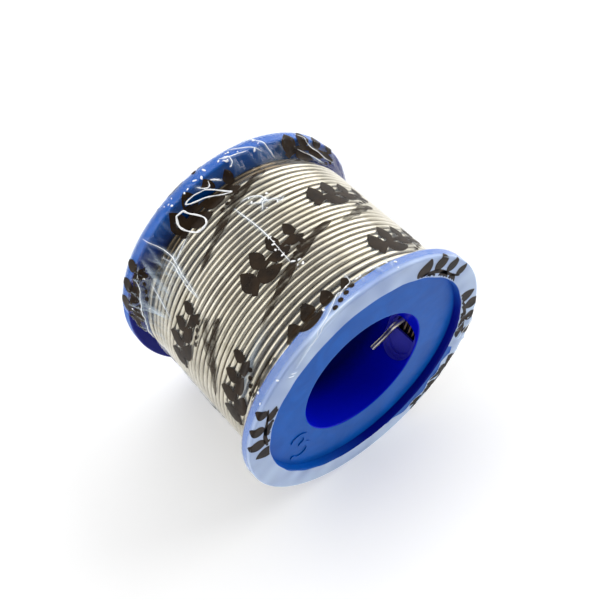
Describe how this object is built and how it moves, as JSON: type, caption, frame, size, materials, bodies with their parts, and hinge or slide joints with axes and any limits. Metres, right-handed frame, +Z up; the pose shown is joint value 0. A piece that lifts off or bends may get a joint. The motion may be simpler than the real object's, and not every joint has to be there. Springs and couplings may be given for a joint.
{
  "type": "solder wire spool",
  "caption": "Small blue plastic reel of silver-grey solder wire in printed clear shrink film, lying on its rims, with a through bore and recessed flanges.",
  "frame": {"origin": "middle of the reel on its axis, half way between the two flanges", "axes": "+Y along the reel's axis towards the rear flange, so the front flange with the cavity number and the wire's start faces -Y; +Z up with the reel lying on its two rims"},
  "size_m": [0.0402, 0.0302, 0.0402],
  "materials": {
    "blue_plastic": "glossy injection-moulded blue polystyrene",
    "solder_wire": "bright drawn tin-lead solder, slightly grey",
    "rosin_flux": "amber rosin",
    "clear_film": "clear shrink film with dark brown printed marks"
  },
  "bodies": {
    "root": {"front_half": "blue_plastic", "rear_half": "blue_plastic", "winding_layer_01": "solder_wire", "winding_layer_02": "solder_wire", "winding_layer_03": "solder_wire", "winding_layer_04": "solder_wire", "winding_layer_05": "solder_wire", "winding_layer_06": "solder_wire", "winding_layer_07": "solder_wire", "winding_layer_08": "solder_wire", "winding_layer_09": "solder_wire", "wire_start_end": "solder_wire", "flux_core_start_end": "rosin_flux", "wire_finish_end": "solder_wire", "flux_core_finish_end": "rosin_flux", "shrink_film": "clear_film"}
  },
  "joints": []
}
